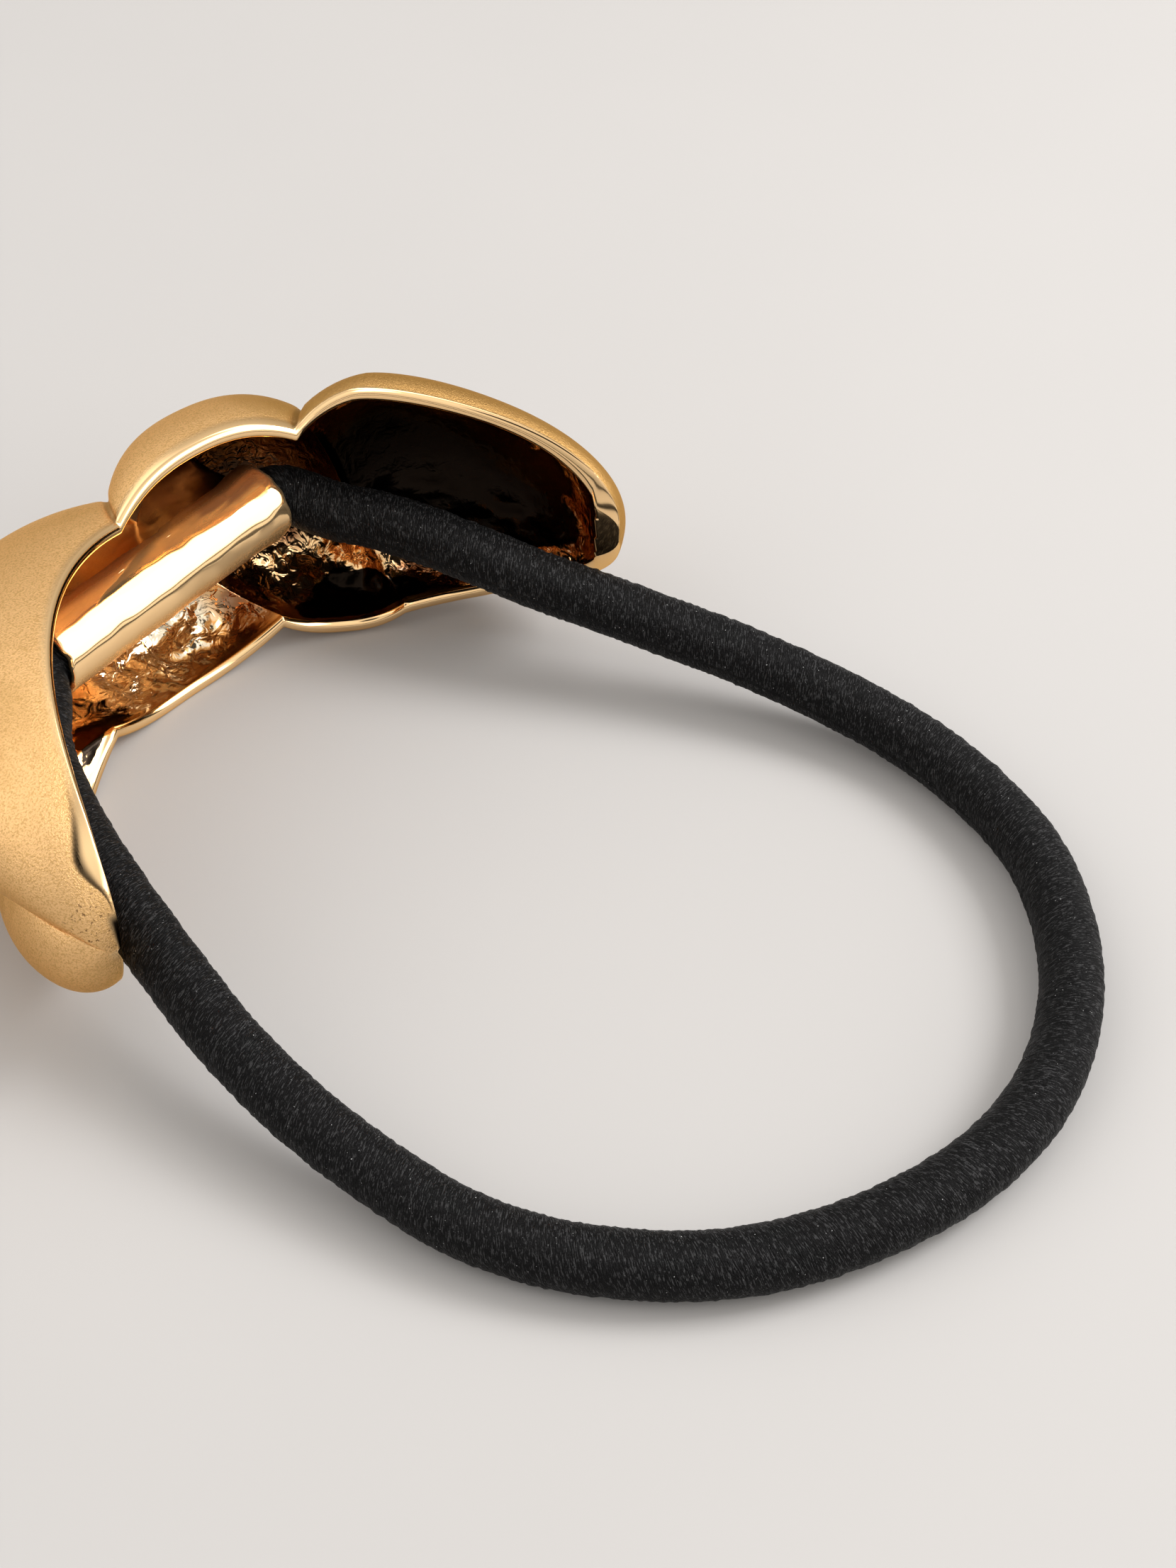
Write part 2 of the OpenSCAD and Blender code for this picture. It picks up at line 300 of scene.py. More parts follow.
# In mm. A place on the cuff is t, from -1 at the far tip to 1 at the near one, and v, from -1 at the
# lower rim to 1 at the upper one.
cuff = {
    "rimReach": 23.5, "rimRise": 20.1, "rimTurn": 62.5, "rimX": 0.45, "rimY": -5.4, "midZ": 9.8,
    "fullness": 2.1, "lobeRound": 2.5, "farBluntness": 5.2, "nearBluntness": 4.4,
    "closing": 2.6, "tipClosing": 0.15, "tipDepth": 1.0, "tipPole": 0.25,
    "wall": 1.0, "backWall": 1.15, "rimRound": 0.4, "rimLeast": 0.35,
    "hollowReach": 0.955, "hollowBluntness": 12, "hollowEnd": 0.55, "hollowEdge": 0.75,
    # top, bottom, depth, half height
    "creases": [(-1.03, -1.36, 3.0, 7.5), (-0.39, -0.59, 6.2, 8.6), (0.08, -0.325, 5.2, 7.8),
                (1.45, 0.195, 5.0, 8.0), (2.22, 0.965, 5.0, 8.3)],
    # out, up, down, back, peak, round
    "lobes": [(2.2, 1.5, 0.4, 2.6, 0.8, 1.4), (0.0, 1.8, 1.3, 3.6, 0.5, 2.5),
              (-0.4, 2.6, 1.9, 5.2, 0.5, 2.5), (0.0, 1.3, 1.5, 1.7, 0.5, 2.5)],
    # rows of points on each lobe, and how they gather at its far end, its near end and both
    "lobeStations": [68, 52, 96, 60], "lastLine": 0.965,
    "gatherFirst": [1.8, 1, 1, 1], "gatherLast": [1, 1, 1.4, 1.8], "gatherBoth": [0, 0.6, 0.6, 0],
    "outerSteps": 140, "innerSteps": 84, "rimSteps": 12, "gatherRim": 0.35,
    "grooveDeep": 0.15, "grooveWide": 0.28, "grooveFade": (1.0, 0.93),
    # the lumps of the cast metal: scale, seed and layers of noise
    "castLumps": 0.30, "castFade": (1.0, 0.86), "lumpNoise": (0.30, 2.0, 2),
    "fineLumps": 0.30, "fineLumpNoise": (0.9, 7.0, 2),
    "ceilingLumps": 0.15, "ceiling": (0.1, -0.4), "creaseCalm": 0.8, "creaseReach": 0.9,
    "ripples": 0.36, "rippleNoise": (0.75, 3.0, 2),
    # patches inside: t, v, reach along t, reach along v, strength
    # dark patches: painted shade in the hollow, over some dark tarnish
    "shadeAndTarnish": [(-0.67, 0.12, 0.25, 0.58, 1), (-0.50, -0.88, 0.14, 0.20, 1), (-0.80, -0.40, 0.13, 0.35, 1),
                (0.02, -0.95, 0.16, 0.14, 0.52), (0.16, -0.85, 0.09, 0.35, 0.62),
                (0.22, -0.93, 0.12, 0.16, 0.85)],
    # brown patches: painted brown reflection and shade in the hollow
    "brownReflection": [(-0.27, -0.75, 0.07, 0.30, 0.9), (-0.64, -0.80, 0.10, 0.22, 1), (-0.91, -0.30, 0.04, 0.4, 1),
              (-0.72, 0.80, 0.24, 0.34, 1), (0.45, 0.0, 0.25, 1.2, 1), (-0.36, 0.15, 0.20, 0.60, 1)],
    # painted shade under the hollow's ceiling
    "dim": [(-0.39, 0.06, 0.17, 0.40, 0.9)],
    # pale patches: a painted highlight, paler metal where the wall reflects the light
    "paleHighlight": [(-0.07, -0.72, 0.15, 0.34, 1), (0.03, -0.82, 0.09, 0.30, 1), (-0.57, -0.78, 0.04, 0.08, 1)],
    "soft": [(-0.05, 0.60, 0.34, 0.60, 1)], "softLess": 0.7,
    "patchFade": (1.2, 0.7), "patchEnd": (1.0, 0.96), "warp": 0.35, "warpNoise": (0.35, 4.0, 2),
    # the v from which each lobe is polished
    "polishFrom": [0.99, 0.94, 0.97, 0.97], "polishFade": 0.05,
    # the polished rim widens before the near tip: from t, to t, closes from t, to t, and down to v
    "tipPolish": (0.76, 0.970, 0.930, 0.994, 0.72), "tipWidening": 4,
    # its lean and its dark edge, a painted dark reflection: rising from, to, and falling from, to, over t or
    # across the band
    "tipBevel": 0.06, "bevelOver": (0.86, 0.97, 0.982, 0.995),
    "bandOver": (0.80, 0.93, 0.985, 0.996), "bandDark": (-0.02, 0.14, 0.25, 0.62), "bandShade": 0.88,
    # the band's painted brown reflection on the rim, and the tip's painted dark end from t and from v
    "rimBrownReflection": 0.4, "darkFromT": (0.990, 0.996), "darkFromV": (0.84, 0.96),
    # the very end of the far tip is satin: up to t, polished from t
    "farPole": (-0.9997, -0.9985),
    # where dark dots are painted as shade in pits, from t and over v
    "pitsFromT": (0.955, 0.985), "pitsOverV": (0.25, 0.45, 0.87, 0.97),
}

rimTurn = math.radians(cuff["rimTurn"])
rimWide = cuff["rimReach"] / math.sin(rimTurn)
rimLong = cuff["rimRise"] / (1 - math.cos(rimTurn))
creaseTable, lobeTable = np.array(cuff["creases"]), np.array(cuff["lobes"])
lastLobe = len(lobeTable) - 1


def signedPower(x, k):
    return np.sign(x) * np.abs(x) ** k


def swell(t):
    blunt = np.where(t < 0, cuff["farBluntness"], cuff["nearBluntness"])
    return np.maximum(1 - np.abs(t) ** blunt, 0) ** (1 / cuff["closing"])


def hollow(t):
    blunt = np.abs(t / cuff["hollowReach"]) ** cuff["hollowBluntness"]
    return np.maximum(1 - blunt, 0) ** (1 / cuff["closing"])


def rimPoint(t):
    return cuff["rimX"] + rimWide * np.sin(rimTurn * t), cuff["rimY"] + rimLong * (1 - np.cos(rimTurn * t))


def outwards(t):
    dx, dy = rimWide * np.cos(rimTurn * t), rimLong * np.sin(rimTurn * t)
    size = np.hypot(dx, dy)
    return dy / size, -dx / size


def creaseAt(k, v):
    return between(creaseTable[k, 1], creaseTable[k, 0], (v + 1) / 2)


def lobePlace(t, v):
    # the lobe a place is on, how far it is across that lobe, and the lobe's width
    k = sum((t >= creaseAt(j, v) - tiny).astype(int) for j in range(1, len(lobeTable)))
    low, high = creaseAt(k, v), creaseAt(k + 1, v)
    return k, np.clip((t - low) / (high - low), 0, 1), high - low


def sectionPoint(t, v, depthLess, depthKeep, highLess, highKeep, lift):
    k, w, _ = lobePlace(t, v)
    ease = w * w * (3 - 2 * w)
    full = swell(t)
    depth = between(cuff["tipDepth"], between(creaseTable[k, 2], creaseTable[k + 1, 2], ease), full)
    high = between(creaseTable[k, 3], creaseTable[k + 1, 3], ease) * full
    skewed = w ** (math.log(0.5) / np.log(lobeTable[k, 4]))
    puff = (1 - np.abs(2 * w - 1) ** cuff["lobeRound"]) * full * lift
    rise = (1 - np.abs(2 * skewed - 1) ** lobeTable[k, 5]) * full * lift
    lobe = lobeTable[k] * np.stack([puff, rise, rise, puff, puff, puff], -1)
    c = np.maximum(np.cos(math.pi / 2 * v), 0) ** (2 / cuff["fullness"])
    s = signedPower(np.sin(math.pi / 2 * v), 2 / cuff["fullness"])
    out = (depth * full ** cuff["tipClosing"] - depthLess) * depthKeep * c
    out = out + between(lobe[..., 0], lobe[..., 3], np.cos(math.pi / 2 * v))
    x, y = rimPoint(t)
    ox, oy = outwards(t)
    tall = (high - highLess * full) * highKeep + np.where(v > 0, lobe[..., 1], lobe[..., 2])
    return np.stack([x + ox * out, y + oy * out, cuff["midZ"] + tall * s], -1)


def outerPoint(t, v):
    return sectionPoint(t, v, 0, 1, 0, 1, 1)


def innerPoint(t, v):
    h = hollow(t)
    ox, oy = outwards(t)
    edge = cuff["rimRound"] * cuff["hollowEdge"] * swell(t) * (1 - h)
    p = sectionPoint(t, v, cuff["backWall"], h, cuff["wall"], between(cuff["hollowEnd"], 1, h), h)
    return p - np.stack([ox * edge, oy * edge, 0 * edge], -1)


def stationPlaces(c, v):
    # rows of places t along the rim, which follow the creases, for the heights v
    rows = []
    for k, count in enumerate(c["lobeStations"]):
        first = np.full_like(v, -1) if k == 0 else np.minimum(creaseAt(k, v), c["lastLine"])
        last = np.full_like(v, 1) if k == lastLobe else np.minimum(creaseAt(k + 1, v), c["lastLine"])
        for i in range(1 if k == 0 else 0, count):
            w = 1 - (1 - (i / count) ** c["gatherFirst"][k]) ** c["gatherLast"][k]
            w = between(w, (1 - math.cos(math.pi * w)) / 2, c["gatherBoth"][k])
            rows.append(between(first, last, w))
    return np.array(rows)


def patchMask(patches, t, v, warp):
    # 1 inside any of the patches, which are ellipses over t and v with a wavy edge
    mask = 0 * t
    for midT, midV, reachT, reachV, strength in patches:
        away = np.hypot((t - midT) / reachT, (v - midV) / reachV) + warp
        mask = np.maximum(mask, strength * smoothStep(*cuff["patchFade"], away))
    return mask


def surfaceNormals(grid):
    normal = np.cross(np.gradient(grid, axis=0), np.gradient(grid, axis=1))
    return normal / np.maximum(np.linalg.norm(normal, axis=-1, keepdims=True), tiny)


def polishStart(c, t, lobe):
    # the height v from which the outside is polished
    start = np.array(c["polishFrom"])[lobe]
    widenFrom, widenTo, closeFrom, end, low = c["tipPolish"]
    wider = np.clip((t - widenFrom) / (widenTo - widenFrom), 0, 1) ** c["tipWidening"]
    return start - (start - low) * wider * smoothStep(end, closeFrom, t)


def nearCrease(t, v, reach):
    # 1 on a crease, 0 further from it than about twice the reach
    k, w, wide = lobePlace(t, np.broadcast_to(v, t.shape))
    speed = np.hypot(rimWide * np.cos(rimTurn * t), rimLong * np.sin(rimTurn * t)) * rimTurn
    noCrease = 9
    toFirst, toLast = np.where(k > 0, w, noCrease), np.where(k < lastLobe, 1 - w, noCrease)
    return np.exp(-(np.minimum(toFirst, toLast) * wide * speed / reach) ** 2)


def rimArc(c, a, b, t):
    # the rounded edge between two lines of points
    ox, oy = outwards(t)
    way = -np.stack([ox, oy, 0 * ox], -1)
    bulge = c["rimRound"] * swell(t) * np.maximum(hollow(t), c["rimLeast"])
    turns = np.linspace(0, math.pi, c["rimSteps"] + 2)[1:-1]
    return np.stack([between(a, b, (1 - math.cos(q)) / 2) + way * (bulge * math.sin(q))[:, None]
                     for q in turns], 1)


def paintShell(obj, c, places, start, groove, rimFade, warp):
    # where the metal is polished, cast, dark, pale or pitted: the dark is painted shade and dark reflection
    # with some tarnish, the pale a painted highlight, the brown a painted reflection, and pits are dark dots
    # painted as shade
    tOut, vOut, tIn, vIn = places
    vWide = np.broadcast_to(vIn, tIn.shape)
    nearRim = smoothStep(*c["patchEnd"], np.abs(vIn)) * hollow(tIn)
    blanks = [np.zeros((len(tOut), n)) for n in (len(vOut), c["rimSteps"], len(vIn), c["rimSteps"])]

    def paint(name, outside=0, upperRim=0, inside=0, lowerRim=0, tips=(0, 0)):
        parts = [part + blank for part, blank in zip((outside, upperRim, inside, lowerRim), blanks)]
        addAttribute(obj, name, np.append(np.concatenate(parts, 1).ravel(), tips))

    def fromFarPole(t):
        return smoothStep(*c["farPole"], t)

    # near the tip the polished band has a dark edge, and its end is dark: both are painted dark reflection
    across = np.clip((vOut - start) / (1 - start), 0, 1)
    band = hill(tOut, *c["bandOver"])
    tipDark = smoothStep(*c["darkFromT"], tOut) * smoothStep(*c["darkFromV"], vOut)
    dark = np.maximum(c["bandShade"] * hill(across, *c["bandDark"]) * band, tipDark)
    # painted shade under the hollow's ceiling
    dim = patchMask(c["dim"], tIn, vWide, warp) * nearRim
    paint("shade", dark, tipDark[:, -1:], dim)

    polish = np.maximum(smoothStep(0, 1, (np.abs(vOut) - start) / c["polishFade"]), tipDark)
    soft = patchMask(c["soft"], tIn, vWide, warp) * rimFade
    paint("polish", polish * fromFarPole(tOut), fromFarPole(tOut[:, -1:]),
          (1 - c["softLess"] * soft) * fromFarPole(tIn), fromFarPole(tIn[:, -1:]), (0, 1))
    paint("cast", inside=rimFade * (1 - soft))
    # the crease mask also carries painted shade along the creases
    paint("crease", groove)
    # painted shade with some tarnish, painted brown reflection and a painted pale highlight inside the
    # hollow; the band's upper rim gets painted brown reflection
    for name in ("shadeAndTarnish", "brownReflection", "paleHighlight"):
        upperRim = c["rimBrownReflection"] * band[:, -1:] if name == "brownReflection" else 0
        paint(name, upperRim=upperRim, inside=patchMask(c[name], tIn, vWide, warp) * nearRim)
    # dark dots painted as shade in pits
    paint("pits", smoothStep(*c["pitsFromT"], tOut) * hill(vOut, *c["pitsOverV"]))


def makeShell(c):
    vOut = np.linspace(-1, 1, c["outerSteps"] + 1)
    vOut = between(vOut, np.sin(vOut * math.pi / 2), c["gatherRim"])
    vIn = np.linspace(1, -1, c["innerSteps"] + 1)
    tOut, tIn = stationPlaces(c, vOut), stationPlaces(c, vIn)
    vWide = np.broadcast_to(vIn, tIn.shape)
    rows = len(tOut)
    outer = outerPoint(tOut, np.broadcast_to(vOut, tOut.shape))
    inner = innerPoint(tIn, vWide)

    # a narrow groove along each crease
    groove = nearCrease(tOut, vOut, c["grooveWide"]) * swell(tOut)
    normals = surfaceNormals(outer)
    deep = c["grooveDeep"] * groove * smoothStep(*c["grooveFade"], np.abs(vOut))
    outer = outer - normals * deep[..., None]

    # the polished rim of the near lobe leans inwards
    start = polishStart(c, tOut, lobePlace(tOut, np.broadcast_to(vOut, tOut.shape))[0])
    lean = np.clip((vOut - start) / (1 - start), 0, 1) * hill(tOut, *c["bevelOver"])
    outer = outer - normals * (c["tipBevel"] * lean ** 2)[..., None]

    # uneven cast metal inside
    flat = inner.reshape(-1, 3)

    def unevenness(settings):
        return noiseAt(flat, *settings).reshape(rows, -1)

    rimFade = smoothStep(*c["castFade"], np.abs(vIn)) * hollow(tIn)
    thinWall = 1 - c["creaseCalm"] * nearCrease(tIn, vIn, c["creaseReach"])
    lumps = unevenness(c["lumpNoise"]) + c["fineLumps"] * unevenness(c["fineLumpNoise"])
    size = between(c["ceilingLumps"], 1, smoothStep(*c["ceiling"], vWide)) * c["castLumps"]
    warp = c["warp"] * unevenness(c["warpNoise"])
    # the patch of the painted pale highlight, which also gets ripples
    paleHighlight = patchMask(c["paleHighlight"], tIn, vWide, warp) * rimFade
    relief = size * lumps * rimFade * thinWall + c["ripples"] * unevenness(c["rippleNoise"]) * paleHighlight
    inner = inner + surfaceNormals(inner) * relief[..., None]

    top = rimArc(c, outer[:, -1], inner[:, 0], tOut[:, -1])
    bottom = rimArc(c, inner[:, -1], outer[:, 0], tIn[:, -1])
    rings = np.concatenate([outer, top, inner, bottom], 1)
    tips = []
    for t in (-1.0, 1.0):
        x, y = rimPoint(t)
        ox, oy = outwards(t)
        pole = c["tipDepth"] * c["tipPole"]
        tips.append((x + ox * pole, y + oy * pole, c["midZ"]))
    points = np.vstack([rings.reshape(-1, 3), tips]) * mm
    faces = gridFaces(rows, rings.shape[1]) + endFaces(rows, rings.shape[1])
    obj = meshFrom("cuff_shell", points, faces, "cuff")
    paintShell(obj, c, (tOut, vOut, tIn, vIn), start, groove, rimFade, warp)
    print("shell made,", len(faces), "faces")
    return obj


shell = makeShell(cuff)


sleeve = {
    "middle": (-0.85, -6.2, 10.0), "length": 20.2, "outer": 2.6, "bore": 2.15, "lip": 0.22,
    "sides": 96, "steps": 110, "lipSteps": 8, "boreSteps": 40,
    # scales of noise along and around, and a shift
    "waves": 0.06, "waveNoise": (0.3, 0.7), "waveLayers": (0.5, 2.0, 2),
    "flare": 0.20, "flareFrom": 3.0, "flareFull": 0.4, "dents": 0.22, "dentNoise": (0.5, 1.6, 2.0),
    "roughEnd": 0.16, "roughReach": 1, "roughSeed": 4, "roughNoise": (1, 3),
    # degrees round the sleeve, from its front over the top to its back; its back strip gets a painted brown
    # reflection of the hollow
    "satinBack": (88, 106), "backPolish": 0.25, "backBrownReflection": 0.6, "satinFront": (4, -14), "frontPolish": 0.4,
}


def sleeveProfile(s):
    # place along, radius, whether it is outside, and which lip it is on
    end = s["length"] / 2 - s["lip"]
    thick = (s["outer"] - s["bore"]) / 2
    lip = [(s["lip"] * math.sin(q), s["bore"] + thick * (1 + math.cos(q)))
           for q in np.linspace(0, math.pi, s["lipSteps"])[1:-1]]
    profile = [(x, s["outer"], 1, 0) for x in np.linspace(-end, end, s["steps"])]
    profile += [(end + x, r, 1, 1) for x, r in lip]
    profile += [(x, s["bore"], 0, 0) for x in np.linspace(end, -end, s["boreSteps"])]
    return profile + [(-end - x, r, 1, -1) for x, r in lip[::-1]]


def roundPlace(x, a, alongScale, aroundScale, shift=0.0):
    return Vector((x * alongScale, math.cos(a) * aroundScale, math.sin(a) * aroundScale + shift))


def sleeveWave(s, x, a):
    # hand-made waves, and a far end that is a little wider and dented
    wave = s["waves"] * noise.fractal(roundPlace(x, a, *s["waveNoise"]), *s["waveLayers"])
    farEnd = -s["length"] / 2
    flared = float(smoothStep(farEnd + s["flareFrom"], farEnd + s["flareFull"], x))
    dent = max(0.0, noise.noise(roundPlace(x, a, *s["dentNoise"])))
    return wave + flared * (s["flare"] - s["dents"] * dent)


def makeSleeve(s):
    x0, y0, z0 = s["middle"]
    profile = sleeveProfile(s)
    points, polish, brownReflection = [], [], []
    for x, r, outside, lip in profile:
        for a in np.linspace(0, 2 * math.pi, s["sides"], endpoint=False):
            radius = r + (sleeveWave(s, x, a) if outside else 0)
            rough = 0
            if abs(x) > s["length"] / 2 - s["roughReach"]:
                rough = s["roughEnd"] * noise.noise(roundPlace(s["roughSeed"] + lip, a, *s["roughNoise"]))
            points.append((x0 + x + rough * np.sign(x), y0 + radius * math.cos(a), z0 + radius * math.sin(a)))
            turn = (math.degrees(a) + 90) % 360 - 90  # from -90 to 270
            back = float(smoothStep(*s["satinBack"], turn))
            front = float(smoothStep(*s["satinFront"], turn))
            polish.append(outside * between(1, s["backPolish"], back) * between(1, s["frontPolish"], front))
            # the back strip gets a painted brown reflection of the hollow
            brownReflection.append(s["backBrownReflection"] * outside * back)
    faces = gridFaces(len(profile), s["sides"], True)
    obj = meshFrom("cuff_sleeve", np.array(points) * mm, faces, "cuff")
    addAttribute(obj, "polish", polish)
    addAttribute(obj, "brownReflection", brownReflection)
    print("sleeve made")
    return obj


sleevePiece = makeSleeve(sleeve)


web = {
    # along x, and heights from the sleeve's middle
    "from": -10.8, "to": 5.0, "stations": 70, "steps": 40, "endRound": 1.8,
    "topNear": 2.52, "topMiddle": 1.9, "topFar": 1.2, "topTurn": 2, "lowNear": -1.3, "lowFar": -1.6,
    "fillet": 0.9, "filletReach": 1.2, "sink": 0.20, "wallSteps": 12, "reach": 6.0, "least": 0.1,
    "lumps": 0.07, "lumpNoise": (0.5, 5.0, 3), "fineLumps": 0.4, "fineLumpNoise": (1.3, 9.0, 2),
    # painted shade, darker towards the web's far end
    "shade": 0.85, "shadeAlong": (-1.0, -9.5),
}


def webLevel(w, d, far, upper):
    # the height of the upper or lower side, d behind the sleeve's middle
    if not upper:
        return between(w["lowNear"], w["lowFar"], d / far)
    near = between(w["topNear"], w["topMiddle"], min(d / w["topTurn"], 1))
    return between(near, w["topFar"], max(0.0, (d - w["topTurn"]) / max(far - w["topTurn"], w["least"])))


def makeWeb(w, s, shellPiece):
    tree = BVHTree.FromPolygons([v.co for v in shellPiece.data.vertices],
                                [p.vertices[:] for p in shellPiece.data.polygons])
    x0, y0, z0 = s["middle"]
    middle = (w["topFar"] + w["lowFar"]) / 2
    levels = np.linspace(w["topFar"] + w["fillet"], w["lowFar"] - w["fillet"], w["wallSteps"])
    rings = []
    for x in w["from"] + (w["to"] - w["from"]) * (1 - np.cos(np.linspace(0, math.pi, w["stations"]))) / 2:
        fromEnd = min(x - w["from"], w["to"] - x)
        ending = math.sqrt(max(0.0, 1 - (1 - min(fromEnd / w["endRound"], 1)) ** 2))
        hits = [tree.ray_cast(Vector((x, y0, z0 + level)) * mm, Vector((0, -1, 0)))[0] for level in levels]
        deep = [y0 - hit.y / mm if hit else w["reach"] for hit in hits]
        ring = []
        for upper in (True, False):
            reach = deep[0 if upper else -1]
            far = reach + w["sink"]
            for i in range(w["steps"]):
                q = i / (w["steps"] - 1)
                d = far * (q if upper else 1 - q)
                fillet = w["fillet"] * math.exp(-max(reach - d, 0) / w["filletReach"]) * ending
                level = webLevel(w, d, far, upper) + (fillet if upper else -fillet)
                ring.append((x, y0 - d, z0 + between(middle, level, ending)))
            if upper:
                # the far side follows the wall
                ring += [(x, y0 - d - w["sink"], z0 + between(middle, level, ending))
                         for level, d in zip(levels[1:-1], deep[1:-1])]
        rings.append(ring)
    grid = np.array(rings)
    flat = grid.reshape(-1, 3)
    lumps = noiseAt(flat, *w["lumpNoise"]) + w["fineLumps"] * noiseAt(flat, *w["fineLumpNoise"])
    grid[..., 2] += w["lumps"] * lumps.reshape(grid.shape[:2])
    points = np.vstack([grid.reshape(-1, 3), [grid[0].mean(0), grid[-1].mean(0)]])
    faces = gridFaces(*grid.shape[:2]) + endFaces(*grid.shape[:2])
    obj = meshFrom("cuff_web", points * mm, faces, "cuff")
    # painted shade, darker towards the web's far end
    addAttribute(obj, "shade", w["shade"] * smoothStep(*w["shadeAlong"], points[:, 0]))
    print("web made")
    return obj


webPiece = makeWeb(web, sleeve, shell)


gold = {
    "polished": (1.0, 0.68, 0.35, 1),
    "satin": (0.88, 0.55, 0.25, 1),
    "olive": (0.60, 0.36, 0.13, 1),
    # painted shade: the satin darkens towards the far lobe
    "farShadeOlive": (0.46, 0.26, 0.085, 1),
    "warm": (0.92, 0.54, 0.25, 1),
    # painted shade in the creases and pits
    "creaseShade": (0.16, 0.08, 0.03, 1),
    # painted shade and dark reflection, partly dark tarnish in the hollow
    "shadeAndTarnish": (0.010, 0.007, 0.005, 1),
    # painted brown reflection and shade
    "brownReflection": (0.34, 0.15, 0.065, 1),
    # painted pale highlight
    "paleHighlight": (1.0, 0.86, 0.64, 1),
    "edgeTint": (0.84, 0.62, 0.36, 1),
    # scale for each mm, detail, roughness and distortion of noise
    "speckleNoise": (8.0, 2.0, 0.55), "fineNoise": (26.0, 1.0, 0.5), "oliveNoise": (0.16, 3.0, 0.55, 0.6),
    "streakNoise": (0.55, 4.0, 0.6, 1.2), "shadeStainNoise": (0.9, 3.0, 0.6, 1.5), "pitNoise": (4.5, 1.0, 0.5),
    "lumpNoise": (1.2, 2.0, 0.45, 0.8),
    # from, to, and the strength at both
    "oliveRamp": (0.46, 0.70, 0.0, 0.45), "farShadeRamp": (-7.5, -12.5, 0.0, 0.9),
    "speckleRamp": (0.47, 0.62, 0.0, 0.72), "streakRamp": (0.40, 0.68), "shadeStainRamp": (0.30, 0.55),
    "creaseRamp": (0.35, 0.95, 0.0, 0.5), "pitRamp": (0.64, 0.70, 0.0, 0.8),
    "shadeStainReach": 1.5,
    "satinRough": 0.32, "speckleRough": 0.16, "polishRough": 0.09, "castRough": 0.13, "shadeStainRough": 0.17,
    "fineShare": 0.35, "shadeStainCalm": 0.8,
    # heights in mm
    "grainHigh": 0.065, "webGrainHigh": 0.02, "lumpsHigh": 0.18,
    "sleeveMetallic": 0.92,
}


def metalColor(group, g, place, mask, speckle, shadeStain):
    # aged satin, darker towards the far lobe as painted shade, polished metal, and a cast hollow from a
    # painted pale highlight to painted shade over some tarnish, with painted brown reflection, painted shade
    # in the creases and dark dots for pits
    x = addNode(group, "ShaderNodeSeparateXYZ", {0: place}).outputs["X"]
    aged = ramp(group, noiseNode(group, place, *g["oliveNoise"]), *g["oliveRamp"])
    streaks = ramp(group, noiseNode(group, place, *g["streakNoise"]), *g["streakRamp"])
    pits = ramp(group, noiseNode(group, place, *g["pitNoise"]), *g["pitRamp"])
    satin = mixColor(group, product(group, aged, mask["Age"]), g["satin"], g["olive"])
    # painted shade, darker towards the far lobe
    satin = mixColor(group, product(group, ramp(group, x, *g["farShadeRamp"]), mask["Age"]), satin, g["farShadeOlive"])
    satin = mixColor(group, ramp(group, speckle, *g["speckleRamp"]), satin, g["olive"])
    inside = mixColor(group, streaks, g["polished"], g["warm"])
    color = mixColor(group, mask["Polish"], satin, g["polished"])
    color = mixColor(group, mask["Cast"], color, inside)
    # painted brown reflection
    color = mixColor(group, mask["BrownReflection"], color, g["brownReflection"])
    # painted pale highlight
    color = mixColor(group, mask["PaleHighlight"], color, g["paleHighlight"])
    # painted shade: the mottled dark hollow with some tarnish, and the shade mask
    color = mixColor(group, mathNode(group, "MAXIMUM", shadeStain, mask["Shade"]), color, g["shadeAndTarnish"])
    # painted shade along the creases
    color = mixColor(group, ramp(group, mask["Crease"], *g["creaseRamp"]), color, g["creaseShade"])
    # dark dots painted as shade in pits
    return mixColor(group, product(group, pits, mask["Pits"]), color, g["creaseShade"])


def metalRough(group, g, mask, speckle, shadeStain):
    rough = mathNode(group, "MULTIPLY_ADD", speckle, g["speckleRough"], g["satinRough"])
    rough = mixValue(group, mask["Polish"], rough, g["polishRough"])
    rough = mixValue(group, mask["Cast"], rough, g["castRough"])
    return mixValue(group, shadeStain, rough, g["shadeStainRough"])


